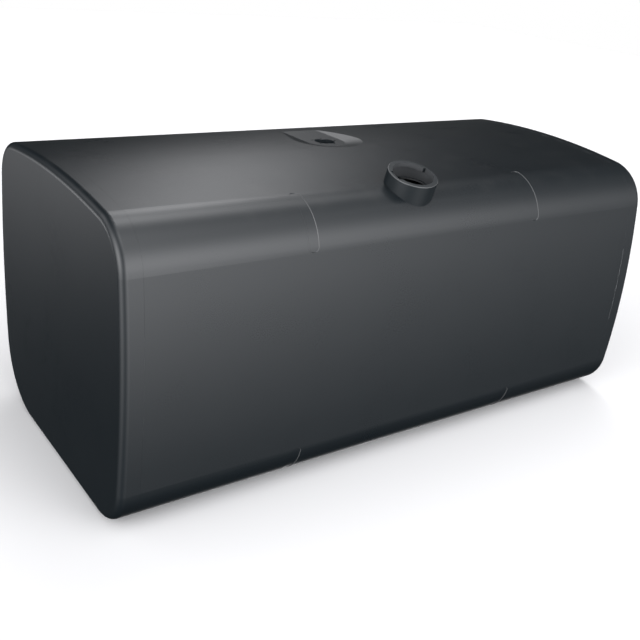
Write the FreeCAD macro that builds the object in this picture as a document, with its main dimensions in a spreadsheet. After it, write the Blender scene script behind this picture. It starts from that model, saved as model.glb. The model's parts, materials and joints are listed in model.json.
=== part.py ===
import FreeCAD, Part
import math
import os
import re

import Sketcher
from FreeCAD import Placement, Rotation, Vector

# Fresh water tank for a vehicle, welded from sheet. Millimetres, +X along the tank, -Y its front, +Z up.
# The origin is on the flat bottom, half way along the tank and half way through its depth.

doc = FreeCAD.newDocument("WaterTank")

# ---------------------------------------------------------------------------------------------
# Driving dimensions
# ---------------------------------------------------------------------------------------------

SIZES = {
    # outside of the tank's section: four crowned or flat sides joined by tangent corners
    "tank_length": 1264.0,
    "tank_depth": 619.0,
    "tank_height": 575.0,
    "top_radius": 1850.0,
    "crown_y": 29.0,
    "front_radius": 1835.0,
    "front_z": 283.0,
    "rear_radius": 1740.0,
    "rear_z": 308.0,
    "corner_front_top": 95.0,
    "corner_front_bottom": 93.0,
    "corner_rear_bottom": 143.0,
    "corner_rear_top": 83.0,
    # sheet metal
    "wall": 3.0,
    "skirt_depth": 38.0,
    "rim_radius": 13.0,
    "seam_chamfer": 0.12,
    "seam_ring_width": 40.0,
    "seam_ring_wall": 2.5,
    # anti-surge baffles
    "baffle_spacing": 430.0,
    "baffle_wall": 2.5,
    "baffle_flange": 25.0,
    "baffle_gap": 0.3,
    "baffle_bend": 6.0,
    "big_hole_radius": 58.0,
    "small_hole_radius": 42.0,
    "small_hole_y": 150.0,
    "small_hole_z": 120.0,
    "baffle_centre_z": 285.0,
    "limber_width": 90.0,
    "limber_height": 40.0,
    # pressed grooves that seat the two straps
    "strap_x": 278.0,
    "strap_width": 22.0,
    "groove_depth": 1.0,
    "groove_corner": 9.5,
    "groove_slope": 0.9,
    # round port in its dish
    "port_x": -2.0,
    "port_y": 82.0,
    "dish_depth": 6.6,
    "dish_radius": 45.0,
    "dish_ramp": 38.0,
    "port_radius": 21.5,
    "port_chamfer": 1.0,
    "bolt_circle": 27.0,
    "bolt_clearance": 2.65,
    "bolt_thread": 2.1,
    "port_ring_radius": 36.0,
    "port_ring_height": 8.0,
    # filler neck, from its rim down
    "neck_x": -22.0,
    "neck_y": -240.7,
    "neck_z": 581.2,
    "neck_tilt": 16.5,
    "neck_radius": 50.0,
    "neck_bore": 44.5,
    "neck_reach": 80.0,
    "neck_edge": 1.6,
    "lip_bore": 40.5,
    "lip_height": 9.0,
    "notch_width": 30.0,
    "notch_reach": 43.8,
    "mouth_hole": 40.0,
    # drain, on the end cap
    "drain_y": 0.0,
    "drain_z": 42.0,
    "drain_bore": 12.1,
    "drain_way": 10.5,
    "drain_spud_radius": 19.0,
    "drain_thread": 12.05,
    "plug_reach": 16.0,
    "plug_flange": 17.0,
    "plug_flange_wall": 3.0,
    "plug_hex": 22.0,
    "plug_hex_height": 9.0,
    "seal_radius": 16.5,
    "seal_play": 0.05,
    # outlet, on the end cap
    "outlet_y": 120.0,
    "outlet_z": 110.0,
    "outlet_bore": 15.2,
    "outlet_spud_radius": 22.5,
    "outlet_thread": 15.15,
    "outlet_hex": 36.0,
    "outlet_way": 10.0,
    "outlet_hose": 12.7,
    "outlet_barb": 14.0,
    "outlet_tail_length": 44.0,
    # vent, on the end cap
    "vent_y": 60.0,
    "vent_z": 490.0,
    "vent_bore": 9.3,
    "vent_spud_radius": 15.0,
    "vent_thread": 9.25,
    "vent_hex": 24.0,
    "vent_way": 6.0,
    "vent_hose": 8.0,
    "vent_barb": 9.2,
    "vent_tail_length": 34.0,
    # what all the threaded fittings share
    "spud_inside": 14.0,
    "spud_outside": 9.0,
    "seal_wall": 2.0,
    "thread_reach": 14.0,
    "hex_height": 10.0,
    "socket_depth": 6.0,
    "hex_bevel": 1.2,
    "screen_wall": 1.0,
    "screen_hole": 1.1,
    "screen_circle": 3.6,
    # pipes inside
    "pickup_radius": 11.0,
    "pickup_wall": 1.5,
    "pickup_run": 40.0,
    "pickup_bend": 33.0,
    "pickup_drop": 50.0,
    "strainer_radius": 19.0,
    "strainer_height": 24.0,
    "strainer_floor_gap": 6.0,
    "slot_width": 4.0,
    "bracket_wall": 2.0,
    "bracket_width": 30.0,
    "bracket_z": 52.0,
    "riser_radius": 7.0,
    "riser_wall": 1.2,
    "riser_run": 30.0,
    "riser_bend": 21.0,
    "riser_rise": 51.0,
}

sheet = doc.addObject("Spreadsheet::Sheet", "Sizes")
for row, (alias, number) in enumerate(SIZES.items(), start=1):
    sheet.set(f"A{row}", alias)
    sheet.set(f"B{row}", str(number))
    sheet.setAlias(f"B{row}", alias)
doc.recompute()


def size(text):
    """Value of a sum of products of sizes, such as "0.5*tank_length - wall"."""
    value = 0.0
    for term in text.replace(" - ", " + -1*").split(" + "):
        product = 1.0
        for factor in term.split("*"):
            product *= SIZES[factor] if factor in SIZES else float(factor)
        value += product
    return value


def formula(text):
    """The same sum as an expression on the spreadsheet."""
    return re.sub(r"[a-z]\w*", r"Sizes.\g<0>", text)


def less(text, removed):
    """The sum text with every term of the sum removed taken away."""
    return f"{text} - " + removed.replace(" + ", " - ")


# ---------------------------------------------------------------------------------------------
# Sketches and features
# ---------------------------------------------------------------------------------------------

def new_body(name):
    body = doc.addObject("PartDesign::Body", name)
    body.Label = name
    return body


def new_sketch(body, name, plane, offset="0"):
    """A sketch on one of the body's own planes, moved along the plane's normal by offset."""
    sketch = body.newObject("Sketcher::SketchObject", f"{body.Name}_{name}")
    origin_plane = next(item for item in body.Origin.OriginFeatures if item.Role == plane)
    sketch.AttachmentSupport = [(origin_plane, "")]
    sketch.MapMode = "FlatFace"
    sketch.AttachmentOffset = Placement(Vector(0, 0, size(offset)), Rotation())
    sketch.setExpression(".AttachmentOffset.Base.z", formula(offset))
    return sketch


def bind(sketch, kind, where, text):
    """Adds a dimension and binds it to the spreadsheet."""
    index = sketch.addConstraint(Sketcher.Constraint(kind, *where, size(text)))
    sketch.setExpression(f"Constraints[{index}]", formula(text))


def add_circle(sketch, radius, across="0", up="0"):
    centre = Vector(size(across), size(up), 0)
    index = sketch.addGeometry(Part.Circle(centre, Vector(0, 0, 1), size(radius)), False)
    bind(sketch, "Radius", (index,), radius)
    bind(sketch, "DistanceX", (-1, 1, index, 3), across)
    bind(sketch, "DistanceY", (-1, 1, index, 3), up)


def add_polygon(sketch, corners):
    """Closed outline through corners, each a pair of size sums."""
    points = [Vector(size(across), size(up), 0) for across, up in corners]
    first = sketch.GeometryCount
    for here, there in zip(points, points[1:] + points[:1]):
        sketch.addGeometry(Part.LineSegment(here, there), False)
    for number, (across, up) in enumerate(corners):
        line = first + number
        before = first + (number - 1) % len(corners)
        sketch.addConstraint(Sketcher.Constraint("Coincident", before, 2, line, 1))
        bind(sketch, "DistanceX", (-1, 1, line, 1), across)
        bind(sketch, "DistanceY", (-1, 1, line, 1), up)


def add_rectangle(sketch, left, right, low, high):
    add_polygon(sketch, [(left, low), (right, low), (right, high), (left, high)])


def add_hexagon(sketch, flats):
    """Regular hexagon about the origin, with the distance between its flats given."""
    apothem = 0.5 * size(flats)
    corners = [Vector(apothem / math.cos(math.pi / 6), 0, 0)]
    for _ in range(5):
        corners.append(Rotation(Vector(0, 0, 1), 60).multVec(corners[-1]))
    first = sketch.GeometryCount
    for here, there in zip(corners, corners[1:] + corners[:1]):
        sketch.addGeometry(Part.LineSegment(here, there), False)
    guide = sketch.addGeometry(Part.Circle(Vector(0, 0, 0), Vector(0, 0, 1), apothem), True)
    sketch.addConstraint(Sketcher.Constraint("Coincident", guide, 3, -1, 1))
    bind(sketch, "Radius", (guide,), f"0.5*{flats}")
    for number in range(6):
        after = first + (number + 1) % 6
        sketch.addConstraint(Sketcher.Constraint("Coincident", first + number, 2, after, 1))
        sketch.addConstraint(Sketcher.Constraint("Tangent", first + number, guide))
        if number:
            sketch.addConstraint(Sketcher.Constraint("Equal", first, first + number))
    sketch.addConstraint(Sketcher.Constraint("PointOnObject", first, 1, -1))


def pad(body, sketch, length, backwards=False):
    feature = body.newObject("PartDesign::Pad", f"{sketch.Name}_pad")
    feature.Profile = sketch
    feature.Length = size(length)
    feature.setExpression("Length", formula(length))
    feature.Reversed = backwards
    sketch.Visibility = False
    return feature


def pocket(body, sketch, depth, backwards=False):
    """Cuts along the sketch's normal when backwards, and against it otherwise."""
    doc.recompute()
    before = body.Shape.Volume
    feature = body.newObject("PartDesign::Pocket", f"{sketch.Name}_pocket")
    feature.Profile = sketch
    feature.Length = size(depth)
    feature.setExpression("Length", formula(depth))
    feature.Reversed = backwards
    doc.recompute()
    if body.Shape.Volume > before - 1.0:
        raise RuntimeError(f"{feature.Name} cut nothing")
    return feature


def revolve(body, sketch, axis="H_Axis"):
    feature = body.newObject("PartDesign::Revolution", f"{sketch.Name}_turned")
    feature.Profile = sketch
    feature.ReferenceAxis = (sketch, [axis])
    feature.Angle = 360.0
    return feature


def ring_of(body, feature, count, axis_role="X_Axis"):
    """Repeats a feature evenly around one of the body's axes."""
    pattern = body.newObject("PartDesign::PolarPattern", f"{feature.Name}_ring")
    pattern.Originals = [feature]
    axis = next(item for item in body.Origin.OriginFeatures if item.Role == axis_role)
    pattern.Axis = (axis, [""])
    pattern.Angle = 360.0
    pattern.Occurrences = count
    body.Tip = pattern
    return pattern


def edges_where(shape, test):
    return [f"Edge{number}" for number, edge in enumerate(shape.Edges, start=1) if test(edge)]


def round_edges(body, feature, radius, test, kind="PartDesign::Fillet"):
    """Rounds or chamfers the feature's edges that pass the test."""
    doc.recompute()
    names = edges_where(feature.Shape, test)
    if not names:
        raise RuntimeError(f"no edge to round on {feature.Name}")
    dressed = body.newObject(kind, f"{feature.Name}_dressed")
    dressed.Base = (feature, names)
    measure = "Radius" if kind.endswith("Fillet") else "Size"
    setattr(dressed, measure, size(radius))
    dressed.setExpression(measure, formula(radius))
    return dressed


def lies_at_x(x):
    def test(edge):
        box = edge.BoundBox
        return abs(box.XMin - x) < 1e-4 and abs(box.XMax - x) < 1e-4
    return test


def lies_at_reach(reach):
    """Test for an edge that stays at the given distance from the body's own X axis."""
    def test(edge):
        middle = 0.5 * (edge.FirstParameter + edge.LastParameter)
        spots = [edge.valueAt(at) for at in (edge.FirstParameter, middle, edge.LastParameter)]
        return all(abs(math.hypot(spot.y, spot.z) - reach) < 1e-3 for spot in spots)
    return test


def combine(kind, name, *parts):
    """Part::Cut or Part::Common of two parts, or Part::MultiFuse of any number."""
    result = doc.addObject(kind, name)
    result.Label = name
    if kind == "Part::MultiFuse":
        result.Shapes = list(parts)
    else:
        result.Base, result.Tool = parts
    return result


# ---------------------------------------------------------------------------------------------
# The tank's section
# ---------------------------------------------------------------------------------------------

def corner_centre(centre_a, reach_a, centre_b, reach_b, near):
    """Point at the two given distances from two centres, on the side of near."""
    across = centre_b - centre_a
    along = (across.Length ** 2 + reach_a ** 2 - reach_b ** 2) / (2 * across.Length)
    off = math.sqrt(reach_a ** 2 - along ** 2)
    unit = Vector(across).normalize()
    foot = centre_a + unit * along
    side = Vector(-unit.y, unit.x, 0) * off
    return min((foot + side, foot - side), key=lambda point: point.distanceToPoint(near))


def section():
    """Centres of the section's crowned sides and corners, as (y, z) vectors."""
    depth, height = size("tank_depth"), size("tank_height")
    low_front, low_rear = size("corner_front_bottom"), size("corner_rear_bottom")
    top = Vector(size("crown_y"), height - size("top_radius"), 0)
    front = Vector(size("front_radius") - depth / 2, size("front_z"), 0)
    rear = Vector(depth / 2 - size("rear_radius"), size("rear_z"), 0)
    front_reach = size("front_radius - corner_front_bottom")
    rear_reach = size("rear_radius - corner_rear_bottom")
    return {
        "top": top,
        "front": front,
        "rear": rear,
        "front_top": corner_centre(
            top, size("top_radius - corner_front_top"),
            front, size("front_radius - corner_front_top"), Vector(-depth / 2, height, 0)),
        "rear_top": corner_centre(
            rear, size("rear_radius - corner_rear_top"),
            top, size("top_radius - corner_rear_top"), Vector(depth / 2, height, 0)),
        "front_bottom": Vector(
            front.x - math.sqrt(front_reach ** 2 - (low_front - front.y) ** 2), low_front, 0),
        "rear_bottom": Vector(
            rear.x + math.sqrt(rear_reach ** 2 - (low_rear - rear.y) ** 2), low_rear, 0),
    }


def heading(start, end):
    """Direction from start to end, in degrees."""
    return math.degrees(math.atan2(end.y - start.y, end.x - start.x))


def corner_sweep(corner):
    """Directions of a front corner's two tangent points, seen from its centre, in degrees."""
    centres = section()
    face = heading(centres["front"], centres[corner]) % 360
    if corner == "front_top":
        return heading(centres["top"], centres[corner]) % 360, face
    return face, 270.0


def add_section(sketch, inset):
    """The closed section, every side and corner moved inwards by inset."""
    centres = section()
    gap = size(inset)
    sides = [
        ("rear_bottom", "corner_rear_bottom", -90.0, heading(centres["rear"], centres["rear_bottom"])),
        ("rear", "rear_radius", heading(centres["rear"], centres["rear_bottom"]),
         heading(centres["rear"], centres["rear_top"])),
        ("rear_top", "corner_rear_top", heading(centres["rear"], centres["rear_top"]),
         heading(centres["top"], centres["rear_top"])),
        ("top", "top_radius", heading(centres["top"], centres["rear_top"]),
         heading(centres["top"], centres["front_top"])),
        ("front_top", "corner_front_top", *corner_sweep("front_top")),
        ("front", "front_radius", heading(centres["front"], centres["front_top"]) % 360,
         heading(centres["front"], centres["front_bottom"]) % 360),
        ("front_bottom", "corner_front_bottom", *corner_sweep("front_bottom")),
    ]
    first = sketch.GeometryCount
    ends = (Vector(centres["front_bottom"].x, gap, 0), Vector(centres["rear_bottom"].x, gap, 0))
    sketch.addGeometry(Part.LineSegment(*ends), False)
    for name, radius, start, end in sides:
        circle = Part.Circle(centres[name], Vector(0, 0, 1), size(radius) - gap)
        sketch.addGeometry(Part.ArcOfCircle(circle, math.radians(start), math.radians(end)), False)
    count = len(sides) + 1
    for number in range(count):
        here, after = first + number, first + (number + 1) % count
        sketch.addConstraint(Sketcher.Constraint("Tangent", here, 2, after, 1))
    number_of = {side[0]: first + number for number, side in enumerate(sides, start=1)}
    for name, radius, _, _ in sides:
        bind(sketch, "Radius", (number_of[name],), less(radius, inset))
    sketch.addConstraint(Sketcher.Constraint("Horizontal", first))
    bind(sketch, "DistanceY", (-1, 1, first, 1), inset)
    bind(sketch, "DistanceX", (-1, 1, number_of["top"], 3), "crown_y")
    bind(sketch, "DistanceY", (number_of["top"], 3, -1, 1), "top_radius - tank_height")
    bind(sketch, "DistanceX", (-1, 1, number_of["front"], 3), "front_radius - 0.5*tank_depth")
    bind(sketch, "DistanceY", (-1, 1, number_of["front"], 3), "front_z")
    bind(sketch, "DistanceX", (number_of["rear"], 3, -1, 1), "rear_radius - 0.5*tank_depth")
    bind(sketch, "DistanceY", (-1, 1, number_of["rear"], 3), "rear_z")


def section_band(name, start, length, outside, inside=None):
    """A length of the section along X: solid, or a band between two insets."""
    body = new_body(name)
    sketch = new_sketch(body, "section", "YZ_Plane", start)
    add_section(sketch, outside)
    if inside:
        add_section(sketch, inside)
    pad(body, sketch, length)
    return body


def rounded_block(name, web, sense, depth, inset, bend):
    """A solid length of the section from x = web towards sense, rounded off at the web."""
    body = new_body(name)
    outline = new_sketch(body, "section", "YZ_Plane", web)
    add_section(outline, inset)
    block = pad(body, outline, depth, backwards=sense < 0)
    round_edges(body, block, bend, lies_at_x(size(web)))
    return body


def pressed_pan(name, web, sense, depth, wall, inset, bend, cutters, chamfer=None):
    """A plate of the tank's section at x = web, with a rim turned towards sense (1 for +X)."""
    outside = rounded_block(f"{name}_outside", web, sense, depth, inset, bend)
    if chamfer:
        mouth = size(web) + sense * size(depth)
        round_edges(outside, outside.Tip, chamfer, lies_at_x(mouth), "PartDesign::Chamfer")
    floor = f"{web} + {sense}*{wall}"
    inside = rounded_block(f"{name}_inside", floor, sense, depth, f"{inset} + {wall}", f"{bend} - {wall}")
    cutter = combine("Part::MultiFuse", f"{name}_cutter", inside, *cutters) if cutters else inside
    return combine("Part::Cut", name, outside, cutter)


# ---------------------------------------------------------------------------------------------
# Casing
# ---------------------------------------------------------------------------------------------

BARREL_START = "skirt_depth - 0.5*tank_length"
BARREL_LENGTH = "tank_length - 2*skirt_depth"


def strap_groove(name, corner, x, inset, outset, spread, slope=None):
    """Ring segment round a front corner at x, from inset below the skin to outset above it.
    The edges of its floor are chamfered by slope."""
    radius = f"corner_{corner}"
    start, end = corner_sweep(corner)
    overshoot = math.degrees(size(spread) / size(radius))
    body = new_body(name)
    sketch = new_sketch(body, "rib", "XZ_Plane")
    add_rectangle(sketch, f"-0.5*strap_width - {spread}", f"0.5*strap_width + {spread}",
                  less(radius, inset), f"{radius} + {outset}")
    segment = body.newObject("PartDesign::Revolution", f"{name}_segment")
    segment.Profile = sketch
    segment.ReferenceAxis = (sketch, ["H_Axis"])
    segment.Angle = end - start + 2 * overshoot
    segment.Midplane = True
    rounded = round_edges(body, segment, "groove_corner",
                          lambda edge: edge.Curve.TypeId == "Part::GeomLine"
                          and edge.BoundBox.XLength < 1e-4)
    if slope:
        round_edges(body, rounded, slope, lies_at_reach(size(less(radius, inset))),
                    "PartDesign::Chamfer")
    centre = section()[corner]
    middle = 0.5 * (start + end)
    body.Placement = Placement(
        Vector(size(x), centre.x, centre.y), Rotation(Vector(1, 0, 0), middle - 90.0))
    return body


def dish(name, deeper, wider):
    """Flat-floored dish with a sloping rim, open towards the rear, in the port's own frame."""
    body = new_body(name)
    floor = f"-1*{deeper}"
    rim = "2*dish_depth"
    reach = f"dish_radius + {wider}"
    ramp_out = f"dish_radius + {wider} + 2*dish_ramp + 0.3*{deeper}"
    round_end = new_sketch(body, "round_end", "XZ_Plane")
    add_polygon(round_end, [("0", floor), (reach, floor), (ramp_out, rim), ("0", rim)])
    revolve(body, round_end, "V_Axis")
    trough = new_sketch(body, "trough", "XZ_Plane")
    add_polygon(trough, [(f"-1*dish_radius - {wider}", floor), (reach, floor), (ramp_out, rim),
                         (f"-1*dish_radius - {wider} - 2*dish_ramp - 0.3*{deeper}", rim)])
    pad(body, trough, "0.5*tank_depth", backwards=True)
    body.Placement = Placement(
        Vector(size("port_x"), size("port_y"), size("tank_height - dish_depth")), Rotation())
    return body


def port_cutter():
    """The round port and its ring of bolt holes, cut down through the dish."""
    body = new_body("port_cutter")
    hole = new_sketch(body, "hole", "XY_Plane", "-2*port_ring_height")
    add_circle(hole, "port_radius")
    pad(body, hole, "4*port_ring_height")
    bevel = new_sketch(body, "bevel", "XZ_Plane")
    add_polygon(bevel, [("0", "-1*port_chamfer"), ("port_radius", "-1*port_chamfer"),
                        ("port_radius + 2*port_chamfer", "port_chamfer"), ("0", "port_chamfer")])
    revolve(body, bevel, "V_Axis")
    bolt = new_sketch(body, "bolt", "XY_Plane", "-2*port_ring_height")
    add_circle(bolt, "bolt_clearance", "bolt_circle")
    ring_of(body, pad(body, bolt, "4*port_ring_height"), 5, "Z_Axis")
    body.Placement = Placement(
        Vector(size("port_x"), size("port_y"), size("tank_height - dish_depth")), Rotation())
    return body


def neck_placement():
    """Local +X is the neck's axis, pointing out of the mouth; the origin is the rim's centre."""
    tilt = size("neck_tilt")
    rim = Vector(size("neck_x"), size("neck_y"), size("neck_z"))
    return Placement(rim, Rotation(Vector(1, 0, 0), tilt) * Rotation(Vector(0, 1, 0), -90))


def mouth_cutter():
    body = new_body("mouth_cutter")
    hole = new_sketch(body, "hole", "YZ_Plane", "-1*neck_reach")
    add_circle(hole, "mouth_hole")
    pad(body, hole, "neck_reach")
    body.Placement = neck_placement()
    return body


def on_outside(edge):
    """True for an edge of the section's outer loop rather than its inner one."""
    middle = edge.valueAt(0.5 * (edge.FirstParameter + edge.LastParameter))
    centres = section()
    spots = [("top", "top_radius"), ("front", "front_radius"), ("rear", "rear_radius")]
    spots += [(corner, f"corner_{corner}") for corner in
              ("front_top", "front_bottom", "rear_top", "rear_bottom")]
    point = Vector(middle.y, middle.z, 0)
    reach = [abs(point.distanceToPoint(centres[name]) - SIZES[radius]) for name, radius in spots]
    return min(reach) < 1e-3 or abs(middle.z) < 1e-3


def barrel_shell():
    """The wrapped skin: band, pressed dish and grooves, port and filler mouth."""
    band = section_band("barrel_band", BARREL_START, BARREL_LENGTH, "0", "wall")
    ends = (size(BARREL_START), size(BARREL_START + " + " + BARREL_LENGTH))
    outer_edge = [lies_at_x(x) for x in ends]
    round_edges(band, band.Tip, "seam_chamfer",
                lambda edge: any(test(edge) for test in outer_edge) and on_outside(edge),
                "PartDesign::Chamfer")
    envelope = section_band("barrel_envelope", BARREL_START, BARREL_LENGTH, "0")
    lining = combine("Part::Common", "dish_lining", dish("dish_outside", "wall", "0.1*wall"), envelope)
    added, removed = [lining], [dish("dish_inside", "0", "0"), port_cutter(), mouth_cutter()]
    for corner in ("front_top", "front_bottom"):
        for side, x in (("left", "-1*strap_x"), ("right", "strap_x")):
            name = f"groove_{corner}_{side}"
            added.append(
                strap_groove(f"{name}_back", corner, x, "groove_depth + wall", "-0.5*wall", "wall"))
            removed.append(
                strap_groove(name, corner, x, "groove_depth", "wall", "0", "groove_slope"))
    whole = combine("Part::MultiFuse", "barrel_pressed", band, *added)
    cutters = combine("Part::MultiFuse", "barrel_cutters", *removed)
    return combine("Part::Cut", "barrel_shell", whole, cutters)


def end_cap(side, sense, cutters=()):
    """Pressed end, closed at the outer side; sense is the direction in which it opens."""
    web = "-0.5*tank_length" if sense > 0 else "0.5*tank_length"
    return pressed_pan(f"end_cap_{side}", web, sense, "skirt_depth", "wall", "0", "rim_radius",
                       cutters, "seam_chamfer")


def fitting_holes():
    """The three holes that the drain, outlet and vent spuds are welded into."""
    body = new_body("fitting_holes")
    holes = new_sketch(body, "holes", "YZ_Plane", "0.5*tank_length - 2*wall")
    for fitting in ("drain", "outlet", "vent"):
        add_circle(holes, f"{fitting}_spud_radius", f"{fitting}_y", f"{fitting}_z")
    pad(body, holes, "4*wall")
    return body


def seam_ring(side, sense):
    """Backing strip bent round the inside of the end seam."""
    seam = "0.5*tank_length - skirt_depth - 0.5*seam_ring_width"
    start = seam if sense < 0 else "skirt_depth - 0.5*tank_length - 0.5*seam_ring_width"
    return section_band(f"seam_ring_{side}", start, "seam_ring_width", "wall", "wall + seam_ring_wall")


def baffle(side, sense):
    """Flanged anti-surge plate with round holes, and gaps at its foot and head."""
    web = "-0.5*baffle_spacing" if sense < 0 else "0.5*baffle_spacing"
    name = f"baffle_{side}"
    holes = new_body(f"{name}_holes")
    round_holes = new_sketch(holes, "round_holes", "YZ_Plane", f"{web} - 2*baffle_wall")
    add_circle(round_holes, "big_hole_radius", "0", "baffle_centre_z")
    for across in ("-1*small_hole_y", "small_hole_y"):
        for up in ("baffle_centre_z - small_hole_z", "baffle_centre_z + small_hole_z"):
            add_circle(round_holes, "small_hole_radius", across, up)
    pad(holes, round_holes, "4*baffle_wall")
    gaps = []
    for place, low, high in (("foot", "0", "limber_height"),
                             ("head", "tank_height - limber_height", "tank_height")):
        gap = new_body(f"{name}_{place}_gap")
        outline = new_sketch(gap, "outline", "YZ_Plane", f"{web} - 2*baffle_flange")
        add_rectangle(outline, "-0.5*limber_width", "0.5*limber_width", low, high)
        pad(gap, outline, "4*baffle_flange")
        gaps.append(gap)
    hollow = combine("Part::MultiFuse", f"{name}_openings", holes, *gaps)
    return pressed_pan(name, web, sense, "baffle_flange", "baffle_wall", "wall + baffle_gap",
                       "baffle_bend", [hollow])


# ---------------------------------------------------------------------------------------------
# Filler neck and port ring
# ---------------------------------------------------------------------------------------------

def filler_neck():
    """Turned bayonet neck, its foot cut to the tank's skin."""
    turned = new_body("neck_turned")
    wall_section = new_sketch(turned, "wall_section", "XZ_Plane")
    add_polygon(wall_section, [
        ("-1*neck_reach", "neck_bore"), ("-1*lip_height", "neck_bore"), ("-1*lip_height", "lip_bore"),
        ("0", "lip_bore"), ("0", "neck_radius"), ("-1*neck_reach", "neck_radius")])
    tube = revolve(turned, wall_section)
    round_edges(turned, tube, "neck_edge", lambda edge: lies_at_x(0)(edge)
                and edge.Curve.TypeId == "Part::GeomCircle"
                and edge.Curve.Radius > size("neck_bore"))
    notch = new_sketch(turned, "notch", "YZ_Plane")
    add_rectangle(notch, "-0.5*notch_width", "0.5*notch_width", "0.5*lip_bore", "notch_reach")
    ring_of(turned, pocket(turned, notch, "lip_height"), 2)
    turned.Placement = neck_placement()
    envelope = section_band("neck_envelope", "-0.25*tank_length", "0.5*tank_length", "0")
    return combine("Part::Cut", "filler_neck", turned, envelope)


def port_ring():
    """Thick tapped ring welded under the dish's floor."""
    ring = new_body("port_ring")
    outline = new_sketch(ring, "outline", "XY_Plane", "-1*wall - port_ring_height")
    add_circle(outline, "port_ring_radius")
    add_circle(outline, "port_radius")
    pad(ring, outline, "port_ring_height")
    thread = new_sketch(ring, "thread", "XY_Plane", "-1*wall")
    add_circle(thread, "bolt_thread", "bolt_circle")
    ring_of(ring, pocket(ring, thread, "port_ring_height"), 5, "Z_Axis")
    ring.Placement = Placement(
        Vector(size("port_x"), size("port_y"), size("tank_height - dish_depth")), Rotation())
    return ring


# ---------------------------------------------------------------------------------------------
# Fittings on the right end cap: local +X points out of the tank, with 0 on the cap's face
# ---------------------------------------------------------------------------------------------

def seat(body, fitting):
    body.Placement = Placement(
        Vector(size("0.5*tank_length"), size(f"{fitting}_y"), size(f"{fitting}_z")), Rotation())
    return body


def bore_through(body, radius, start, length):
    """Round hole along the fitting's axis, from start towards +X."""
    way = new_sketch(body, "way", "YZ_Plane", start)
    add_circle(way, radius)
    return pocket(body, way, length, backwards=True)


def spud(fitting, socket):
    """Welded socket: bore for the thread outside, and a narrower one for the pipe inside."""
    body = new_body(f"{fitting}_spud")
    step = "socket_depth - spud_inside"
    radius, bore = f"{fitting}_spud_radius", f"{fitting}_bore"
    outline = new_sketch(body, "outline", "XZ_Plane")
    add_polygon(outline, [("-1*spud_inside", socket), (step, socket), (step, bore),
                          ("spud_outside", bore), ("spud_outside", radius), ("-1*spud_inside", radius)])
    revolve(body, outline)
    return seat(body, fitting)


def bevel_hexagon(body, flats, end):
    """Turns the hexagon's outer corners back at end."""
    bevel = new_sketch(body, "bevel", "XZ_Plane")
    add_polygon(bevel, [(end, f"0.5*{flats}"), (end, f"0.7*{flats}"),
                        (f"{end} - 2*hex_bevel", f"0.7*{flats}")])
    groove = body.newObject("PartDesign::Groove", f"{body.Name}_bevelled")
    groove.Profile = bevel
    groove.ReferenceAxis = (bevel, ["H_Axis"])
    groove.Angle = 360.0


def hose_tail(fitting):
    """Threaded end, hexagon and three-barbed hose spigot, bored through."""
    body = new_body(f"{fitting}_tail")
    start = "spud_outside + seal_wall - thread_reach"
    hexagon = "spud_outside + seal_wall"
    foot = f"{hexagon} + hex_height"
    thread, hose, barb = f"{fitting}_thread", f"{fitting}_hose", f"{fitting}_barb"
    length = f"{fitting}_tail_length"
    corners = [(start, "0"), (start, thread), (foot, thread), (foot, hose)]
    for number in (1, 2, 3):
        back = f"{foot} + {0.25 * number}*{length}"
        corners += [(back, hose), (back, barb)]
    corners += [(f"{foot} + {length}", hose), (f"{foot} + {length}", "0")]
    outline = new_sketch(body, "outline", "XZ_Plane")
    add_polygon(outline, corners)
    revolve(body, outline)
    flats = new_sketch(body, "flats", "YZ_Plane", hexagon)
    add_hexagon(flats, f"{fitting}_hex")
    pad(body, flats, "hex_height")
    doc.recompute()
    bevel_hexagon(body, f"{fitting}_hex", foot)
    bore_through(body, f"{fitting}_way", start, f"thread_reach + hex_height + {length}")
    return seat(body, fitting)


def flat_seal(name, fitting, bore, radius, gap="0"):
    body = new_body(name)
    ring = new_sketch(body, "ring", "YZ_Plane", f"spud_outside + {gap}")
    add_circle(ring, radius)
    add_circle(ring, bore)
    pad(body, ring, "seal_wall")
    return seat(body, fitting)


def drain_plug():
    """Flanged hexagon plug; its threaded end runs in the drain spud's bore."""
    body = new_body("drain_plug")
    flange = "spud_outside + seal_wall + 2*seal_play"
    start = f"{flange} - plug_reach"
    hexagon = f"{flange} + plug_flange_wall"
    outline = new_sketch(body, "outline", "XZ_Plane")
    add_polygon(outline, [(start, "0"), (start, "drain_thread"), (flange, "drain_thread"),
                          (flange, "plug_flange"), (hexagon, "plug_flange"), (hexagon, "0")])
    revolve(body, outline)
    flats = new_sketch(body, "flats", "YZ_Plane", hexagon)
    add_hexagon(flats, "plug_hex")
    pad(body, flats, "plug_hex_height")
    doc.recompute()
    bevel_hexagon(body, "plug_hex", f"{hexagon} + plug_hex_height")
    return seat(body, "drain")


def vent_screen():
    """Punched disc that keeps insects out of the vent, pressed in the mouth of its tail."""
    body = new_body("vent_screen")
    mouth = "spud_outside + seal_wall + hex_height + vent_tail_length"
    disc = new_sketch(body, "disc", "YZ_Plane", f"{mouth} - 2*screen_wall")
    add_circle(disc, "vent_way")
    add_circle(disc, "screen_hole")
    pad(body, disc, "screen_wall")
    hole = new_sketch(body, "hole", "YZ_Plane", mouth)
    add_circle(hole, "screen_hole", "screen_circle")
    ring_of(body, pocket(body, hole, "3*screen_wall"), 6)
    return seat(body, "vent")


# ---------------------------------------------------------------------------------------------
# Pipes inside, in the frame of the fitting that they start from
# ---------------------------------------------------------------------------------------------

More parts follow.
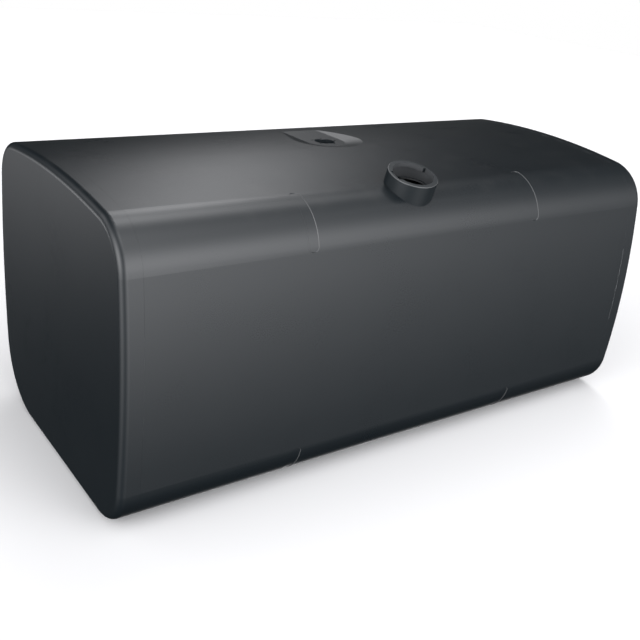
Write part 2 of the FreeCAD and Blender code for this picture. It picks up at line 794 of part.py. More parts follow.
def bent_pipe(name, fitting, radius, wall, run, bend, leg, up):
    """Pipe from the fitting's socket, straight in and then turned up (1) or down (-1)."""
    body = new_body(name)
    start = "socket_depth - spud_inside"
    knee = f"-1*spud_inside - {run}"
    column = f"{knee} - {bend}"
    spine = new_sketch(body, "spine", "XZ_Plane")
    low, high = size(knee) - size(bend), size(knee)
    turn = up * size(bend)
    spine.addGeometry(Part.LineSegment(Vector(size(start), 0, 0), Vector(high, 0, 0)), False)
    arc = Part.Arc(Vector(high, 0, 0),
                   Vector(high - size(bend) * math.sin(math.pi / 4),
                          turn * (1 - math.cos(math.pi / 4)), 0),
                   Vector(low, turn, 0))
    spine.addGeometry(arc, False)
    spine.addGeometry(Part.LineSegment(Vector(low, turn, 0),
                                       Vector(low, turn + up * size(leg), 0)), False)
    knee_end, column_end = (1, 2) if up < 0 else (2, 1)
    spine.addConstraint(Sketcher.Constraint("Tangent", 0, 2, 1, knee_end))
    spine.addConstraint(Sketcher.Constraint("Tangent", 1, column_end, 2, 1))
    bind(spine, "DistanceX", (-1, 1, 0, 1), start)
    bind(spine, "DistanceY", (-1, 1, 0, 1), "0")
    bind(spine, "DistanceX", (-1, 1, 0, 2), knee)
    bind(spine, "DistanceY", (-1, 1, 0, 2), "0")
    bind(spine, "Radius", (1,), bend)
    bind(spine, "DistanceX", (-1, 1, 2, 2), column)
    bind(spine, "DistanceY", (-1, 1, 2, 2), f"{up}*{bend} + {up}*{leg}")
    ring = new_sketch(body, "ring", "YZ_Plane", start)
    add_circle(ring, radius)
    add_circle(ring, f"{radius} - {wall}")
    doc.recompute()
    pipe = body.newObject("PartDesign::AdditivePipe", f"{name}_swept")
    pipe.Profile = ring
    pipe.Spine = (spine, ["Edge1", "Edge2", "Edge3"])
    doc.recompute()
    area = math.pi * (size(radius) ** 2 - (size(radius) - size(wall)) ** 2)
    length = size(f"{run} + socket_depth + {leg}") + math.pi / 2 * size(bend)
    if abs(body.Shape.Volume / (area * length) - 1) > 0.01:
        raise RuntimeError(f"{name} is {body.Shape.Volume} where {area * length} is expected")
    return seat(body, fitting)


def pickup_strainer():
    """Slotted cup over the foot of the suction pipe, open to the floor of the tank."""
    body = new_body("pickup_strainer")
    outline = new_sketch(body, "outline", "XZ_Plane")
    add_polygon(outline, [
        ("pickup_radius", "strainer_height - pickup_wall"), ("pickup_radius", "strainer_height"),
        ("strainer_radius", "strainer_height"), ("strainer_radius", "0"),
        ("strainer_radius - pickup_wall", "0"),
        ("strainer_radius - pickup_wall", "strainer_height - pickup_wall")])
    revolve(body, outline, "V_Axis")
    slot = new_sketch(body, "slot", "YZ_Plane", "strainer_radius + pickup_wall")
    add_rectangle(slot, "-0.5*slot_width", "0.5*slot_width",
                  "0.15*strainer_height", "0.8*strainer_height")
    ring_of(body, pocket(body, slot, "4*pickup_wall"), 12, "Z_Axis")
    column = size("0.5*tank_length - spud_inside - pickup_run - pickup_bend")
    foot = size("wall + strainer_floor_gap")
    body.Placement = Placement(Vector(column, size("outlet_y"), foot), Rotation())
    return body


def pickup_bracket():
    """Angle strip welded to the end cap, with a hole that steadies the suction pipe."""
    body = new_body("pickup_bracket")
    column = "-1*spud_inside - pickup_run - pickup_bend"
    tip = f"{column} - 2*pickup_radius"
    angle = new_sketch(body, "angle", "XZ_Plane", "-0.5*bracket_width")
    drop = "bracket_z - outlet_z"
    add_polygon(angle, [
        (tip, drop), ("-1*wall", drop), ("-1*wall", f"{drop} - bracket_width"),
        ("-1*wall - bracket_wall", f"{drop} - bracket_width"),
        ("-1*wall - bracket_wall", f"{drop} - bracket_wall"), (tip, f"{drop} - bracket_wall")])
    pad(body, angle, "bracket_width")
    hole = new_sketch(body, "hole", "XY_Plane", drop)
    add_circle(hole, "pickup_radius", column)
    pocket(body, hole, "2*bracket_wall")
    return seat(body, "outlet")


# ---------------------------------------------------------------------------------------------
# Assembly
# ---------------------------------------------------------------------------------------------

def build_tank():
    return [
        barrel_shell(),
        end_cap("left", 1),
        end_cap("right", -1, [fitting_holes()]),
        seam_ring("left", 1),
        seam_ring("right", -1),
        baffle("left", -1),
        baffle("right", 1),
        filler_neck(),
        port_ring(),
        spud("outlet", "pickup_radius"),
        flat_seal("outlet_seal", "outlet", "outlet_bore", "0.5*outlet_hex"),
        hose_tail("outlet"),
        bent_pipe("pickup_tube", "outlet", "pickup_radius", "pickup_wall",
                  "pickup_run", "pickup_bend", "pickup_drop", -1),
        pickup_strainer(),
        pickup_bracket(),
        spud("vent", "riser_radius"),
        flat_seal("vent_seal", "vent", "vent_bore", "0.5*vent_hex"),
        hose_tail("vent"),
        vent_screen(),
        bent_pipe("vent_riser", "vent", "riser_radius", "riser_wall",
                  "riser_run", "riser_bend", "riser_rise", 1),
        spud("drain", "drain_way"),
        flat_seal("drain_seal", "drain", "drain_bore + 6*seal_play", "seal_radius", "seal_play"),
        drain_plug(),
    ]


def check(nodes):
    """Stops if any object failed, or if a node isn't made of sound solids."""
    for item in doc.Objects:
        if "Invalid" in item.State or "Error" in item.State:
            raise RuntimeError(f"{item.Name}: {item.State}")
    for node in nodes:
        shape = node.Shape
        if shape.isNull() or not shape.isValid() or len(shape.Solids) != 1:
            raise RuntimeError(f"{node.Label} is not one sound solid")


def write(nodes):
    os.makedirs("parts", exist_ok=True)
    for node in nodes:
        node.Shape.exportStep(f"parts/{node.Label}.step")
        box = node.Shape.BoundBox
        print(f"{node.Label:18s} {node.Shape.Volume / 1000:9.2f} cm3  "
              f"{box.XLength:7.1f} x {box.YLength:6.1f} x {box.ZLength:6.1f} mm")


tank = build_tank()
doc.recompute()
check(tank)
write(tank)
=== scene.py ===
import json
import math

import bmesh
import bpy
from mathutils import Matrix, Vector


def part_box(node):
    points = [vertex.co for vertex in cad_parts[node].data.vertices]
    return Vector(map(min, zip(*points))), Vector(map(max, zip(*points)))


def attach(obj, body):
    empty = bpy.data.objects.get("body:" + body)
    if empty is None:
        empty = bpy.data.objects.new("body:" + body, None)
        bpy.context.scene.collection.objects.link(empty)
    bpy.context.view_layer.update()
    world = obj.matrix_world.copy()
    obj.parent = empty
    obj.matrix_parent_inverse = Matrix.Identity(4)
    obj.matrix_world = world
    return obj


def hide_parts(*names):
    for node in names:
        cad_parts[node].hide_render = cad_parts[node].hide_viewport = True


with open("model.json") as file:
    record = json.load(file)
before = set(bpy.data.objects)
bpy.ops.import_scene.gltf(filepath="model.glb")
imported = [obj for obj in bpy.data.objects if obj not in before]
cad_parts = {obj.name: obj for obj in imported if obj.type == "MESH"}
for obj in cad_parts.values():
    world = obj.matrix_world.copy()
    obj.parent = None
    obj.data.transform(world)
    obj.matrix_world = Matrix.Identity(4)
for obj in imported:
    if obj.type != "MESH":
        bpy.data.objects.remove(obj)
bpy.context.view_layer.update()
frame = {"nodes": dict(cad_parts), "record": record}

MM = 0.001

# ---------------------------------------------------------------------------------------------
# Places read from the frame
# ---------------------------------------------------------------------------------------------

TANK_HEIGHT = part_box("barrel_shell")[1][2]
END_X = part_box("end_cap_right")[1][0]
MOUNTS = {mount["name"]: mount for mount in frame["record"]["mounts"]}
MOUTH_PLACE = Vector(MOUNTS["filler_mouth"]["pos_m"])
MOUTH_AXIS = Vector(MOUNTS["filler_mouth"]["axis"])


def middle(node):
    """The middle of the node's box."""
    low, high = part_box(node)
    return (Vector(low) + Vector(high)) / 2


# ---------------------------------------------------------------------------------------------
# Camera: where it stands, how it is turned (in radians) and its lens (in millimetres)
# ---------------------------------------------------------------------------------------------

CAMERA_PLACE = (-1.1369, -1.4897, 0.9881)
CAMERA_YAW, CAMERA_PITCH, CAMERA_ROLL = 0.6559, 0.3596, 0.0991
CAMERA_LENS, CAMERA_SENSOR = 50.59, 36.0
CAMERA_SHIFT = (-0.0288, -0.0692)


def make_camera():
    """Yaw turns the camera from +Y towards +X, pitch tips it down and roll lifts its right side."""
    forward = Vector((math.sin(CAMERA_YAW) * math.cos(CAMERA_PITCH),
                      math.cos(CAMERA_YAW) * math.cos(CAMERA_PITCH), -math.sin(CAMERA_PITCH)))
    level = Vector((math.cos(CAMERA_YAW), -math.sin(CAMERA_YAW), 0))
    upright = level.cross(forward)
    right = level * math.cos(CAMERA_ROLL) + upright * math.sin(CAMERA_ROLL)
    up = upright * math.cos(CAMERA_ROLL) - level * math.sin(CAMERA_ROLL)
    data = bpy.data.cameras.new("camera")
    data.sensor_width = CAMERA_SENSOR
    data.lens = CAMERA_LENS
    data.shift_x, data.shift_y = CAMERA_SHIFT
    camera = bpy.data.objects.new("camera", data)
    axes = Matrix((right, up, -forward)).transposed()
    camera.matrix_world = Matrix.Translation(CAMERA_PLACE) @ axes.to_4x4()
    bpy.context.collection.objects.link(camera)
    bpy.context.scene.camera = camera


# ---------------------------------------------------------------------------------------------
# Node helpers
# ---------------------------------------------------------------------------------------------

MIX_FACTOR, MIX_FIRST, MIX_SECOND, MIX_RESULT = 0, 6, 7, 2


def set_socket(tree, socket, value):
    """Links an output to the socket, or gives it a number, a vector or a colour of three numbers."""
    if isinstance(value, bpy.types.NodeSocket):
        tree.links.new(value, socket)
    elif socket.type == "RGBA":
        socket.default_value = (*value, 1.0)
    else:
        socket.default_value = value


def add_node(tree, kind, inputs=(), **settings):
    """A node with its settings made; inputs maps a socket's name or number to a value or an output."""
    node = tree.nodes.new(kind)
    for name, value in settings.items():
        setattr(node, name, value)
    for socket, value in dict(inputs).items():
        set_socket(tree, node.inputs[socket], value)
    return node


def math_node(tree, operation, *values):
    return add_node(tree, "ShaderNodeMath", dict(enumerate(values)), operation=operation).outputs[0]


def vector_node(tree, operation, *vectors):
    """A vector operation's result: a value for a dot product or a length, otherwise a vector."""
    node = add_node(tree, "ShaderNodeVectorMath", dict(enumerate(vectors)), operation=operation)
    return node.outputs["Value" if operation in ("DOT_PRODUCT", "LENGTH") else "Vector"]


def split(tree, vector):
    """The vector's x, y and z."""
    return tuple(add_node(tree, "ShaderNodeSeparateXYZ", {0: vector}).outputs)


def joined(tree, x=0.0, y=0.0, z=0.0):
    """The vector with these coordinates."""
    return add_node(tree, "ShaderNodeCombineXYZ", {0: x, 1: y, 2: z}).outputs[0]


def surface_normal(tree):
    return add_node(tree, "ShaderNodeNewGeometry").outputs["Normal"]


def spread_over(tree, value, low, high):
    """Maps a 0 to 1 value to low to high."""
    return math_node(tree, "MULTIPLY_ADD", value, high - low, low)


def varied(tree, centre, *swings):
    """The centre, moved up and down by two 0 to 1 patterns; each swing is a pattern and its reach."""
    (first, first_reach), (second, second_reach) = swings
    return math_node(tree, "ADD", spread_over(tree, first, centre - first_reach, centre + first_reach),
                     spread_over(tree, second, -second_reach, second_reach))


def blend(tree, share, first, second):
    """The share of the first value plus the rest of the second."""
    return math_node(tree, "ADD", math_node(tree, "MULTIPLY", first, share),
                     math_node(tree, "MULTIPLY", second, 1 - share))


def step_between(tree, value, low, high):
    """0 below low, 1 above high and smooth in between; falls instead when low is above high."""
    return add_node(tree, "ShaderNodeMapRange", {"Value": value, "From Min": low, "From Max": high},
                    interpolation_type="SMOOTHSTEP").outputs["Result"]


def noise(tree, point, scale, detail, roughness=0.5):
    """A 0 to 1 pattern; scale is how often it changes per metre."""
    return add_node(tree, "ShaderNodeTexNoise", {"Vector": point, "Scale": scale, "Detail": detail,
                                                 "Roughness": roughness}).outputs[0]


def grained_noise(tree, point, grain, detail, roughness=0.5):
    """A 0 to 1 pattern; grain is how often it changes per metre along each axis."""
    return noise(tree, vector_node(tree, "MULTIPLY", point, grain), 1.0, detail, roughness)


def mix_colour(tree, factor, first, second):
    inputs = {MIX_FACTOR: factor, MIX_FIRST: first, MIX_SECOND: second}
    return add_node(tree, "ShaderNodeMix", inputs, data_type="RGBA").outputs[MIX_RESULT]


def bumped(tree, height, distance, strength):
    """A normal that follows the height."""
    inputs = {"Height": height, "Distance": distance, "Strength": strength}
    return add_node(tree, "ShaderNodeBump", inputs).outputs[0]


# ---------------------------------------------------------------------------------------------
# Studio: soft lights far away, as lobes of the world, and a pale floor
# ---------------------------------------------------------------------------------------------

# name: (azimuth in degrees from +X towards +Y, elevation, tightness, strength)
# All but back_low began as the output of a fitting program, and were then rounded and partly changed.
SOFT_LIGHTS = {
    "front_low": (-83, -3, 7.8, 3.0),
    "front_middle": (-69, 18, 11, 3.7),
    "front_high": (-69, 67, 11, 3.1),
    "over_back": (41, 62, 46, 4.9),
    "back_high": (57, 40, 130, 5.2),
    "back_middle": (60, 23, 130, 1.55),
    "back_low": (50, -32, 38, 1.8),
    "left": (-169, 11, 7.4, 5.9),
    "rear_low": (120, -9, 108, 2.9),
    "rear_high": (131, 30, 29, 1.5),
    "right_low": (13, -8, 52, 4.4),
}
LIGHT_COLOUR = (1.0, 1.0, 1.022)
ROOM_LIGHT = 0.01
PAPER_WHITE = (1.0, 1.0, 1.0)
FLOOR_HALF_WIDTH = 8.0
FLOOR_DROP = 0.5 * MM
FLOOR_GREY = (0.8, 0.8, 0.8)


def soft_light(tree, direction, azimuth, elevation, tightness):
    """1 in the light's own direction, falling off smoothly round it."""
    turn, rise = math.radians(azimuth), math.radians(elevation)
    centre = (math.cos(rise) * math.cos(turn), math.cos(rise) * math.sin(turn), math.sin(rise))
    facing = vector_node(tree, "DOT_PRODUCT", direction, centre)
    return math_node(tree, "EXPONENT",
                     math_node(tree, "MULTIPLY_ADD", facing, tightness, -tightness))


def make_world():
    """The camera itself sees white paper; everything else is lit by the soft lights."""
    world = bpy.data.worlds.new("studio")
    bpy.context.scene.world = world
    world.use_nodes = True
    tree = world.node_tree
    tree.nodes.clear()
    direction = add_node(tree, "ShaderNodeTexCoord").outputs["Generated"]
    total = ROOM_LIGHT
    for azimuth, elevation, tightness, strength in SOFT_LIGHTS.values():
        lobe = soft_light(tree, direction, azimuth, elevation, tightness)
        total = math_node(tree, "MULTIPLY_ADD", lobe, strength, total)
    light = add_node(tree, "ShaderNodeBackground", {"Color": LIGHT_COLOUR, "Strength": total})
    paper = add_node(tree, "ShaderNodeBackground", {"Color": PAPER_WHITE, "Strength": 1.0})
    seen = add_node(tree, "ShaderNodeLightPath").outputs["Is Camera Ray"]
    mix = add_node(tree, "ShaderNodeMixShader", {0: seen, 1: light.outputs[0], 2: paper.outputs[0]})
    add_node(tree, "ShaderNodeOutputWorld", {"Surface": mix.outputs[0]})


def make_floor():
    """Matt paper that only the camera sees, just under the tank."""
    reach = FLOOR_HALF_WIDTH
    mesh = bpy.data.meshes.new("floor")
    mesh.from_pydata([(-reach, -reach, 0), (reach, -reach, 0), (reach, reach, 0), (-reach, reach, 0)],
                     [], [(0, 1, 2, 3)])
    floor = bpy.data.objects.new("floor", mesh)
    floor.location.z = -FLOOR_DROP
    bpy.context.collection.objects.link(floor)
    material = bpy.data.materials.new("floor_paper")
    material.use_nodes = True
    tree = material.node_tree
    tree.nodes.clear()
    matt = add_node(tree, "ShaderNodeBsdfDiffuse", {"Color": FLOOR_GREY})
    add_node(tree, "ShaderNodeOutputMaterial", {"Surface": matt.outputs[0]})
    mesh.materials.append(material)
    floor.visible_glossy = False
    floor.visible_diffuse = False
    floor.visible_shadow = False


# ---------------------------------------------------------------------------------------------
# Masks: where on a piece a finish changes, or where a highlight is painted on
# ---------------------------------------------------------------------------------------------

HEART_CLEAR = 200 * MM
TOWARDS_AXIS = -0.8
TURNS_AWAY = (0.15, 0.40)
TURNS_FLAT = (0.97, 0.85)
LIES_LEVEL = (0.60, 0.98)
# Where the groove ends get a painted highlight: near the middle and on the front half only
STRAPS_WITHIN = 400 * MM
FRONT_PART = -150 * MM


def facing_heart(heart, reach):
    """A mask: 1 on inner surfaces that face the heart, 0 on outer ones and on the sides of holes.

    reach scales the axes.
    """
    def find(tree, point):
        away = vector_node(tree, "MULTIPLY", vector_node(tree, "SUBTRACT", point, heart), reach)
        facing = vector_node(tree, "DOT_PRODUCT", away, surface_normal(tree))
        return math_node(tree, "LESS_THAN", facing, -HEART_CLEAR)
    return find


def facing_axis(place, axis):
    """A mask: 1 on surfaces that face the line through the place, 0 on those that face away."""
    def find(tree, point):
        away = vector_node(tree, "SUBTRACT", point, place)
        along = vector_node(tree, "PROJECT", away, axis)
        outward = vector_node(tree, "NORMALIZE", vector_node(tree, "SUBTRACT", away, along))
        facing = vector_node(tree, "DOT_PRODUCT", outward, surface_normal(tree))
        return math_node(tree, "LESS_THAN", facing, TOWARDS_AXIS)
    return find


def groove_end_highlight(tree, point):
    """A mask for a painted highlight: 1 on the sloping ends of the strap grooves on the front half, 0
    elsewhere on the shell.
    """
    lean = math_node(tree, "ABSOLUTE", split(tree, surface_normal(tree))[0])
    along, across, _ = split(tree, point)
    near = math_node(tree, "LESS_THAN", math_node(tree, "ABSOLUTE", along), STRAPS_WITHIN)
    front = math_node(tree, "LESS_THAN", across, FRONT_PART)
    return math_node(tree, "MULTIPLY", step_between(tree, lean, *TURNS_AWAY),
                     math_node(tree, "MULTIPLY", near, front))


def rim_highlight(axis):
    """A mask for a painted highlight: 1 on edges that turn from facing along the axis to facing across
    it, 0 on both sides.
    """
    def find(tree, point):
        facing = vector_node(tree, "DOT_PRODUCT", surface_normal(tree), axis)
        return math_node(tree, "MULTIPLY", step_between(tree, facing, *TURNS_AWAY),
                         step_between(tree, facing, *TURNS_FLAT))
    return find


def facing_up(tree):
    """A mask: 1 on level surfaces that face up, 0 on upright ones."""
    return step_between(tree, split(tree, surface_normal(tree))[2], *LIES_LEVEL)


# ---------------------------------------------------------------------------------------------
# Materials
# ---------------------------------------------------------------------------------------------

# Base colours, each as a dark and a pale one that a noise mixes
COAT = ((0.0050, 0.0077, 0.0097), (0.0068, 0.0096, 0.0116))
# Painted light: a lighter copy of the same coat, lifting the neck where the shell shades it; the spuds,
# port ring and beads share it
BOSS_COAT_PAINTED_LIGHTER = ((0.0070, 0.0102, 0.0123), (0.0095, 0.0130, 0.0152))
# Painted light: a far paler copy of the coat inside the neck's bore, lifting it out of its own shade
BORE_PAINTED_LIGHT = ((0.042, 0.045, 0.048), (0.055, 0.058, 0.061))
MILL = ((0.36, 0.37, 0.38), (0.50, 0.505, 0.51))
BRASS = ((0.46, 0.29, 0.095), (0.70, 0.49, 0.20))
STEEL = ((0.40, 0.40, 0.41), (0.58, 0.58, 0.585))
RUBBER = ((0.018, 0.018, 0.019), (0.034, 0.034, 0.036))
# Painted highlight: a pale coat on the groove ends and the neck's rounded rims, standing in for the
# light they catch
PAINTED_HIGHLIGHT_COAT = (0.078, 0.080, 0.082)
DUST = (0.30, 0.29, 0.27)

# How often each pattern changes per metre
COAT_CLOUDS, COAT_GRAIN, COAT_PEEL, COAT_FINE_PEEL = 7.0, 900.0, 260.0, 2600.0
DUST_PATCHES = 22.0
ROLLING_GRAIN = (6, 900, 900)
METAL_CLOUDS, TURNED_CLOUDS, TURNED_RINGS = 35.0, 60.0, 2600.0
RUBBER_CLOUDS, RUBBER_GRAIN = 90.0, 1500.0

COAT_ROUGHNESS = 0.28
INSIDE_ROUGHER = 0.16
INSIDE_METALLIC = 0.8
DUST_AMOUNT = 0.02
DUST_SETTLES = (0.5, 0.8)
# How fully the painted highlight covers its edges as the fine noise varies
PAINTED_HIGHLIGHT_COVER = (0.7, 1.0)
WIDE_PEEL_SHARE = 0.7
STREAK_SHARE = 0.6
RING_SHARE = 0.45
RUBBER_ROUGHNESS = (0.66, 0.84)
COAT_RELIEF, STREAK_RELIEF, RING_RELIEF, RUBBER_RELIEF = 0.02 * MM, 0.015 * MM, 0.03 * MM, 0.05 * MM


def new_material(name):
    """A material, its node tree, its shader node and the point on the object, in metres."""
    material = bpy.data.materials.new(name)
    material.use_nodes = True
    tree = material.node_tree
    point = add_node(tree, "ShaderNodeTexCoord").outputs["Object"]
    return material, tree, tree.nodes["Principled BSDF"], point


def feed(tree, shader, **sources):
    """Links or sets the shader's sockets, written with _ for a space."""
    for name, source in sources.items():
        set_socket(tree, shader.inputs[name.replace("_", " ")], source)


def powder_coat(name, roughness=COAT_ROUGHNESS, colours=COAT, inside=None, painted_highlight=None):
    """Satin black powder coat.

    inside holds the mask maker of the inner surfaces, their two colours and how metallic they are.
    The last argument is the mask maker of the edges where a highlight is painted on as a pale coat.
    """
    material, tree, shader, point = new_material(name)
    cloud = noise(tree, point, COAT_CLOUDS, 3.0)
    fine = noise(tree, point, COAT_GRAIN, 2.0, 0.6)
    coat = mix_colour(tree, cloud, *colours)
    dust = math_node(tree, "MULTIPLY", facing_up(tree),
                     step_between(tree, noise(tree, point, DUST_PATCHES, 4.0), *DUST_SETTLES))
    coat = mix_colour(tree, math_node(tree, "MULTIPLY", dust, DUST_AMOUNT), coat, DUST)
    # Painted highlight: the pale coat laid on the masked edges
    if painted_highlight is not None:
        highlight_share = math_node(tree, "MULTIPLY", painted_highlight(tree, point), spread_over(tree, fine, *PAINTED_HIGHLIGHT_COVER))
        coat = mix_colour(tree, highlight_share, coat, PAINTED_HIGHLIGHT_COAT)
    gloss = varied(tree, roughness, (cloud, 0.015), (fine, 0.012))
    peel = blend(tree, WIDE_PEEL_SHARE, noise(tree, point, COAT_PEEL, 1.0),
                 noise(tree, point, COAT_FINE_PEEL, 0.0))
    if inside is not None:
        find_inside, inner_colours, metallic = inside
        mask = find_inside(tree, point)
        rolled = grained_noise(tree, point, ROLLING_GRAIN, 2.0)
        coat = mix_colour(tree, mask, coat, mix_colour(tree, rolled, *inner_colours))
        gloss = math_node(tree, "ADD", gloss, math_node(tree, "MULTIPLY", mask, INSIDE_ROUGHER))
        feed(tree, shader, Metallic=math_node(tree, "MULTIPLY", mask, metallic))
    feed(tree, shader, Base_Color=coat, Roughness=gloss, Normal=bumped(tree, peel, COAT_RELIEF, 0.5))
    return material


def streaked_metal(name, colours, roughness, grain, metallic=1.0):
    """Metal with fine streaks: grain holds how often the streaks change per metre along each axis."""
    material, tree, shader, point = new_material(name)
    streaks = grained_noise(tree, point, grain, 3.0, 0.65)
    cloud = noise(tree, point, METAL_CLOUDS, 3.0)
    feed(tree, shader, Base_Color=mix_colour(tree, blend(tree, STREAK_SHARE, streaks, cloud), *colours),
         Metallic=metallic, Roughness=varied(tree, roughness, (streaks, 0.06), (cloud, 0.04)),
         Normal=bumped(tree, streaks, STREAK_RELIEF, 0.4))
    return material


def turned_metal(name, colours, roughness, centre):
    """Metal turned about an axis along X through the centre: fine rings on faces and sides alike."""
    material, tree, shader, point = new_material(name)
    along, across, upward = split(tree, vector_node(tree, "SUBTRACT", point, centre))
    radius = vector_node(tree, "LENGTH", joined(tree, y=across, z=upward))
    rings = noise(tree, joined(tree, x=along, y=radius), TURNED_RINGS, 3.0, 0.7)
    cloud = noise(tree, point, TURNED_CLOUDS, 3.0)
    feed(tree, shader, Base_Color=mix_colour(tree, blend(tree, RING_SHARE, rings, cloud), *colours),
         Metallic=1.0, Roughness=varied(tree, roughness, (rings, 0.05), (cloud, 0.06)),
         Normal=bumped(tree, rings, RING_RELIEF, 0.5))
    return material


def moulded_rubber(name):
    """Dull black rubber with a fine grain."""
    material, tree, shader, point = new_material(name)
    cloud = noise(tree, point, RUBBER_CLOUDS, 3.0)
    grain = noise(tree, point, RUBBER_GRAIN, 2.0, 0.7)
    feed(tree, shader, Base_Color=mix_colour(tree, cloud, *RUBBER),
         Roughness=spread_over(tree, grain, *RUBBER_ROUGHNESS),
         Normal=bumped(tree, grain, RUBBER_RELIEF, 0.4))
    return material


# ---------------------------------------------------------------------------------------------
# Pieces made here: shared steps
# ---------------------------------------------------------------------------------------------

def join_rows(mesh, rows, closed=False):
    """Quads between neighbouring rings of points."""
    for one, two in zip(rows, rows[1:] + rows[:1] if closed else rows[1:]):
        for place in range(len(one)):
            following = (place + 1) % len(one)
            mesh.faces.new((one[place], one[following], two[following], two[place]))


def finish_piece(name, mesh, material, body):
    """The mesh as a smooth object of its own and its body."""
    bmesh.ops.recalc_face_normals(mesh, faces=mesh.faces)
    data = bpy.data.meshes.new(name)
    for face in mesh.faces:
        face.smooth = True
    mesh.to_mesh(data)
    mesh.free()
    data.materials.append(material)
    piece = bpy.data.objects.new(name, data)
    bpy.context.collection.objects.link(piece)
    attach(piece, body)
    return piece


# ---------------------------------------------------------------------------------------------
# Weld beads round the three spuds
# ---------------------------------------------------------------------------------------------

BEAD_RADIUS = 2.6 * MM
BEAD_PITCH = 2.2 * MM
BEAD_RIPPLE = 0.22 * MM
BEAD_DRAG = 0.35 * BEAD_PITCH
BEAD_SIDES = 14
STEPS_PER_RIPPLE = 8


def weld_bead(name, spud, material):
    """A rippled ring where the spud's side meets the end cap's face."""
    low, high = (Vector(corner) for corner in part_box(spud))
    centre = (low + high) / 2
    ring = (high.y - low.y) / 2
    ripples = round(2 * math.pi * ring / BEAD_PITCH)
    steps = ripples * STEPS_PER_RIPPLE
    mesh = bmesh.new()
    loops = []
    for step in range(steps):
        turn = 2 * math.pi * step / steps
        phase = 2 * math.pi * (step % STEPS_PER_RIPPLE) / STEPS_PER_RIPPLE
        thickness = BEAD_RADIUS + BEAD_RIPPLE * math.cos(phase)
        loop = []
        for side in range(BEAD_SIDES):
            angle = 2 * math.pi * side / BEAD_SIDES
            dragged = turn + BEAD_DRAG * math.sin(angle) ** 2 / ring
            reach = ring + thickness * math.cos(angle)
            loop.append(mesh.verts.new((END_X + thickness * math.sin(angle),
                                        centre.y + reach * math.cos(dragged),
                                        centre.z + reach * math.sin(dragged))))
        loops.append(loop)
    join_rows(mesh, loops, closed=True)
    return finish_piece(name, mesh, material, "tank")


# ---------------------------------------------------------------------------------------------
# Drain plug with its thread
# ---------------------------------------------------------------------------------------------

THREAD_PITCH = 1.814 * MM
THREAD_DEPTH = 1.1 * MM
THREAD_RELIEF = 1.6 * MM
CREST_WIDENING = 1.25
PLUG_CREST = 12.05 * MM
PLUG_SHANK = 16.0 * MM
PLUG_FLANGE_WALL = 3.0 * MM
HEXAGON_FLAT = 11.0 * MM
HEXAGON_TOP = 10.8 * MM
HEXAGON_SLOPE = math.tan(math.radians(30))
HEXAGON_SIDE = 60.0
EDGE_BREAK = 0.3 * MM
SHARP_EDGE = math.radians(25)
PLUG_COLUMNS = 96
ROWS_PER_PITCH = 16


def thread_radius(along, turn):
    """The shank's radius at a distance from its tip and a part of a turn, right-handed about +X."""
    wave = (along / THREAD_PITCH - turn) % 1.0
    groove = THREAD_DEPTH * min(1.0, CREST_WIDENING * abs(2 * wave - 1))
    lead_in = max(0.0, THREAD_DEPTH + EDGE_BREAK - along)
    past_thread = along - PLUG_SHANK + THREAD_RELIEF
    run_out = THREAD_DEPTH * min(1.0, max(0.0, past_thread / THREAD_PITCH + 1))
    return PLUG_CREST - max(groove, lead_in, run_out)


def hexagon_radius(turn):
    """The hexagon's reach at a part of a turn, with corners at both sides."""
    past_flat = (turn * 360 + HEXAGON_SIDE / 2) % HEXAGON_SIDE
    return HEXAGON_FLAT / math.cos(math.radians(min(past_flat, HEXAGON_SIDE - past_flat)))


def plug_outline(tip, top, flange, turn):
    """Distance along the axis and reach from it, from the tip to the hexagon's top."""
    steps = round(PLUG_SHANK / THREAD_PITCH * ROWS_PER_PITCH)
    for step in range(steps + 1):
        along = PLUG_SHANK * step / steps
        yield tip + along, thread_radius(along, turn)
    foot = tip + PLUG_SHANK
    face = foot + PLUG_FLANGE_WALL
    hexagon = hexagon_radius(turn)
    yield foot, flange - EDGE_BREAK
    yield foot + EDGE_BREAK, flange
    yield face - EDGE_BREAK, flange
    yield face, flange - EDGE_BREAK
    yield face, hexagon
    yield top - (hexagon - HEXAGON_TOP) * HEXAGON_SLOPE, hexagon
    yield top, HEXAGON_TOP


def threaded_plug(node, material):
    """One closed skin: tip, thread, relief, flange, hexagon and its bevelled top."""
    low, high = (Vector(corner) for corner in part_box(node))
    centre = (low + high) / 2
    flange = (high.y - low.y) / 2
    mesh = bmesh.new()
    columns = []
    for column in range(PLUG_COLUMNS):
        turn = column / PLUG_COLUMNS
        across, upward = math.cos(2 * math.pi * turn), math.sin(2 * math.pi * turn)
        columns.append([mesh.verts.new((x, centre.y + reach * across, centre.z + reach * upward))
                        for x, reach in plug_outline(low.x, high.x, flange, turn)])
    rows = [list(row) for row in zip(*columns)]
    join_rows(mesh, rows)
    mesh.faces.new(rows[0])
    mesh.faces.new(rows[-1])
    plug = finish_piece("threaded_plug", mesh, material, "drain_plug")
    plug.data.set_sharp_from_angle(angle=SHARP_EDGE)
    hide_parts(node)


# ---------------------------------------------------------------------------------------------
# The scene
# ---------------------------------------------------------------------------------------------

def inside_of_tank(reach):
    """Bare mill sheet on the surfaces that face the middle of the tank."""
    return facing_heart((0.0, 0.0, TANK_HEIGHT / 2), reach), MILL, INSIDE_METALLIC


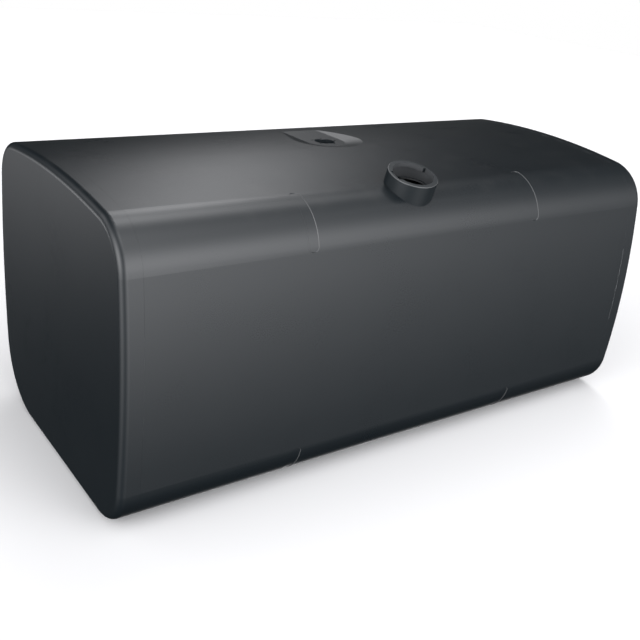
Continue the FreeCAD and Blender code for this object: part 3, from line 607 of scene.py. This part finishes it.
def choose_finishes():
    """The material of every node."""
    cap_coat = powder_coat("cap_coat", inside=inside_of_tank((1, 1, 1)))
    spud_coat = powder_coat("spud_coat", roughness=0.33, colours=BOSS_COAT_PAINTED_LIGHTER)
    mill_sheet = streaked_metal("mill_sheet", MILL, roughness=0.42, grain=(900, 900, 12), metallic=0.9)
    punched = streaked_metal("punched_stainless", STEEL, roughness=0.36, grain=(900, 40, 900))
    rubber = moulded_rubber("seal_rubber")
    finishes = {
        # The shell's groove ends carry a painted highlight
        "barrel_shell": powder_coat("shell_coat", inside=inside_of_tank((0.2, 1, 1)), painted_highlight=groove_end_highlight),
        # The neck's coat is painted lighter, standing in for light
        "filler_neck": powder_coat("neck_coat", roughness=0.36, colours=BOSS_COAT_PAINTED_LIGHTER,
                                   # The bore is painted paler, standing in for light
                                   inside=(facing_axis(MOUTH_PLACE, MOUTH_AXIS), BORE_PAINTED_LIGHT, 0.0),
                                   # The neck's rounded rims carry a painted highlight
                                   painted_highlight=rim_highlight(MOUTH_AXIS)),
        "port_ring": powder_coat("port_coat", roughness=0.32, colours=BOSS_COAT_PAINTED_LIGHTER),
        "pickup_tube": streaked_metal("tube_along_x", MILL, roughness=0.34, grain=(15, 1200, 1200)),
        "vent_riser": streaked_metal("tube_upright", MILL, roughness=0.34, grain=(1200, 1200, 15)),
        "outlet_tail": turned_metal("outlet_brass", BRASS, 0.30, middle("outlet_tail")),
        "vent_tail": turned_metal("vent_brass", BRASS, 0.30, middle("vent_tail")),
        "drain_plug": turned_metal("plug_steel", STEEL, 0.26, middle("drain_plug")),
    }
    shared = (
        (cap_coat, ("end_cap_left", "end_cap_right")),
        (spud_coat, ("drain_spud", "outlet_spud", "vent_spud")),
        (mill_sheet, ("seam_ring_left", "seam_ring_right", "baffle_left", "baffle_right",
                      "pickup_bracket")),
        (punched, ("pickup_strainer", "vent_screen")),
        (rubber, ("drain_seal", "outlet_seal", "vent_seal")),
    )
    for material, nodes in shared:
        finishes.update(dict.fromkeys(nodes, material))
    return finishes


def dress_nodes(finishes):
    """Gives every CAD node its material."""
    for name, node in frame["nodes"].items():
        for material_slot in node.material_slots:
            material_slot.material = finishes[name]


def add_beads():
    """A painted bead round each spud, a little rougher than the spud's own coat."""
    material = powder_coat("bead_coat", roughness=0.34, colours=BOSS_COAT_PAINTED_LIGHTER)
    for spud in ("drain_spud", "outlet_spud", "vent_spud"):
        weld_bead(f"{spud}_bead", spud, material)


make_camera()
make_world()
make_floor()
bpy.context.scene.view_settings.view_transform = "Standard"
FINISHES = choose_finishes()
dress_nodes(FINISHES)
threaded_plug("drain_plug", FINISHES["drain_plug"])
add_beads()
